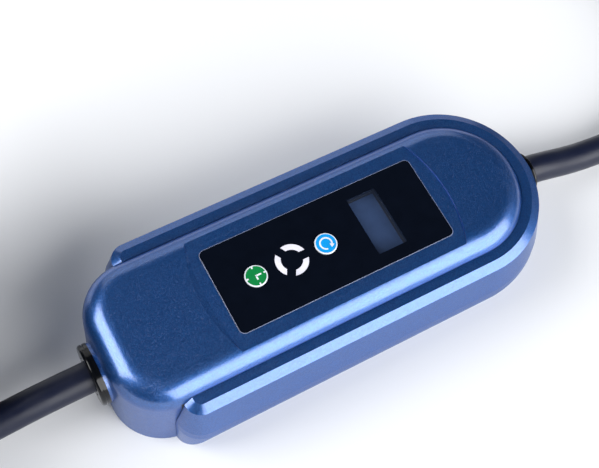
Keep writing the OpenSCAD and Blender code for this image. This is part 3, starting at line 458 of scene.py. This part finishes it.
def panel_edge_highlight():
    """Rounded outline of the panel, cut down to a band just inside it and thickened."""
    bm = bmesh.new()
    plate(bm, Matrix.Translation((PANEL_MID.x, PANEL_MID.y, PANEL_TOP - EDGE_RISE + EDGE_PROUD)),
          PANEL_SIZE.x + EDGE_SPREAD, PANEL_SIZE.y + EDGE_SPREAD)
    bmesh.ops.bevel(bm, geom=bm.verts[:], affect="VERTICES", offset=PANEL_CORNER, segments=10, profile=0.5,
                    material=-1)
    band = bmesh.ops.inset_region(bm, faces=bm.faces[:], thickness=EDGE_W, depth=EDGE_RISE,
                                  use_boundary=True, use_even_offset=True)["faces"]
    bmesh.ops.delete(bm, geom=[f for f in bm.faces if f not in band], context="FACES")
    bmesh.ops.solidify(bm, geom=bm.faces[:], thickness=EDGE_T)
    piece("panel_edge_highlight", bm, FILM_EDGE_HIGHLIGHT, "housing")


panel_edge_highlight()

# Pocket's sloping end: a crescent ramp from the arc's top edge beside the nose down to the pocket's floor
POCKET_FLOOR, POCKET_TOP = PANEL_TOP - 0.2 * MM, PANEL_TOP + 0.4 * MM
POCKET_R = 60 * MM
POCKET_ARC_X = PANEL_LOW.x - 7.7 * MM
RAMP_W, RAMP_SWEEP_DEG, RAMP_STEPS = 2.6 * MM, 46.0, 40


def pocket_ramp():
    """Three arcs that meet at the crescent's tips, bridged to a closed ramp."""
    half = math.radians(RAMP_SWEEP_DEG / 2)
    half_chord = POCKET_R * math.sin(half)
    inner_rise = POCKET_R * (1 - math.cos(half)) - RAMP_W
    inner_r = (half_chord ** 2 + inner_rise ** 2) / (2 * inner_rise)
    inner_half = math.asin(half_chord / inner_r)
    bm = bmesh.new()
    rails = []
    for middle, r, z, half_sweep in ((POCKET_ARC_X, POCKET_R, POCKET_TOP, half),
                                     (POCKET_ARC_X + RAMP_W, inner_r, POCKET_FLOOR, inner_half),
                                     (POCKET_ARC_X, POCKET_R, POCKET_FLOOR, half)):
        centre = Vector((middle + r, 0, z))
        start = bm.verts.new(centre + Matrix.Rotation(-half_sweep, 3, "Z") @ Vector((-r, 0, 0)))
        bmesh.ops.spin(bm, geom=[start], cent=centre, axis=(0, 0, 1), angle=2 * half_sweep, steps=RAMP_STEPS)
        rails.append([e for e in bm.edges if e not in sum(rails, [])])
    for first, second in ((0, 1), (1, 2), (2, 0)):
        bmesh.ops.bridge_loops(bm, edges=rails[first] + rails[second])
    piece("pocket_ramp", bm, PAINT, "housing")


pocket_ramp()

# Display screen: a glass plate on the floor of the module's pocket, seen through the clear window
SCREEN_PLAY = 0.1 * MM
bm = bmesh.new()
plate(bm, Matrix.Translation((WINDOW_MID.x, WINDOW_MID.y, SCREEN_Z)),
      WINDOW_SIZE.x - SCREEN_PLAY, WINDOW_SIZE.y - SCREEN_PLAY)
raise_faces(bm, PRINT_T)
piece("display_screen", bm, SCREEN_GLASS, "housing")

# Ties that hold the hank: one strap round each run's strands
TIE_X, TIE_W, TIE_T, TIE_SLACK = -262 * MM, 20 * MM, 1.0 * MM, 0.1 * MM


def tie(name, strands):
    """Strap pulled tight round strands given as their middles across the run, in millimetres."""
    bm = bmesh.new()
    along_run = Matrix.Rotation(math.pi / 2, 4, "Y")
    strand_r = CABLE_R + TIE_SLACK
    for y, z in strands:
        bmesh.ops.create_cone(bm, segments=32, radius1=strand_r, radius2=strand_r, depth=TIE_W,
                              matrix=Matrix.Translation((TIE_X, y * MM, z * MM)) @ along_run)
    bmesh.ops.delete(bm, geom=bm.edges[:] + bm.faces[:], context="EDGES_FACES")
    bmesh.ops.convex_hull(bm, input=bm.verts[:])
    ends = [f for f in bm.faces if abs(f.normal.x) > 0.5]
    bmesh.ops.delete(bm, geom=[v for v in bm.verts if not v.link_faces], context="VERTS")
    bmesh.ops.delete(bm, geom=ends, context="FACES")
    bmesh.ops.recalc_face_normals(bm, faces=bm.faces[:])
    bmesh.ops.solidify(bm, geom=bm.faces[:], thickness=-TIE_T)
    piece(name, bm, STRAP, "housing")


FRONT_OUTER, FRONT_INNER = HANK_Y - HANK_OUTER, HANK_Y - HANK_INNER
BACK_INNER, BACK_OUTER = HANK_Y + HANK_INNER, HANK_Y + HANK_OUTER
# Heights of the lowest strands, raised so that the strap under them lies on the floor, of the fourth level
# and of the top run
LOW_Z = (CABLE_R + TIE_SLACK + TIE_T) / MM
FOURTH_Z = CABLE_R / MM + 3 * HANK_STEP
TOP_RUN_Z = END_ROUTE[0][2]
tie("front_tie", [(FRONT_OUTER, LOW_Z), (FRONT_INNER, LOW_Z), (FRONT_INNER, FOURTH_Z),
                  (FRONT_OUTER, TOP_RUN_Z)])
tie("back_tie", [(BACK_INNER, LOW_Z), (BACK_OUTER, LOW_Z), (BACK_INNER, FOURTH_Z), (BACK_OUTER, FOURTH_Z)])

# Stage: pale floor and soft studio light, in metres
FLOOR_HALF = 3.0
SOFTBOX_AWAY = 1.3
floor_bm = bmesh.new()
bmesh.ops.create_grid(floor_bm, x_segments=1, y_segments=1, size=FLOOR_HALF)
floor_mesh = bpy.data.meshes.new("studio_floor")
floor_bm.to_mesh(floor_mesh)
floor_bm.free()
floor = bpy.data.objects.new("studio_floor", floor_mesh)
scene.collection.objects.link(floor)
# Matt white paint: even and pale, without a reflection of the box
floor_paint = new_material("white_studio_floor", Base_Color=linear("#e6e7e9"), Roughness=0.9,
                           Specular_IOR_Level=0.1)[0]
floor_mesh.materials.append(floor_paint)


def softbox(name, azimuth, elevation, width, height, radiance):
    """Soft rectangular light turned to face the box, in degrees round from +X and up from the floor."""
    data = bpy.data.lights.new(name, "AREA")
    data.shape = "RECTANGLE"
    data.size, data.size_y = width, height
    data.energy = radiance * math.pi * width * height
    lamp = bpy.data.objects.new(name, data)
    turn, rise = math.radians(azimuth), math.radians(elevation)
    outward = Vector((math.cos(turn) * math.cos(rise), math.sin(turn) * math.cos(rise), math.sin(rise)))
    lamp.location = outward * SOFTBOX_AWAY
    lamp.rotation_euler = outward.to_track_quat("Z", "Y").to_euler()
    scene.collection.objects.link(lamp)


softbox("front_softbox", azimuth=-66, elevation=29, width=1.75, height=1.2, radiance=5.5)
softbox("nose_softbox", azimuth=154, elevation=34, width=0.8, height=1.25, radiance=6.5)
softbox("back_softbox", azimuth=75, elevation=22, width=1.5, height=0.8, radiance=0.9)
world = bpy.data.worlds.new("studio_room")
world.use_nodes = True
room = world.node_tree.nodes["Background"]
room.inputs["Color"].default_value = linear("#c4d9fc")
room.inputs["Strength"].default_value = 0.1
scene.world = world
scene.view_settings.view_transform = "Standard"
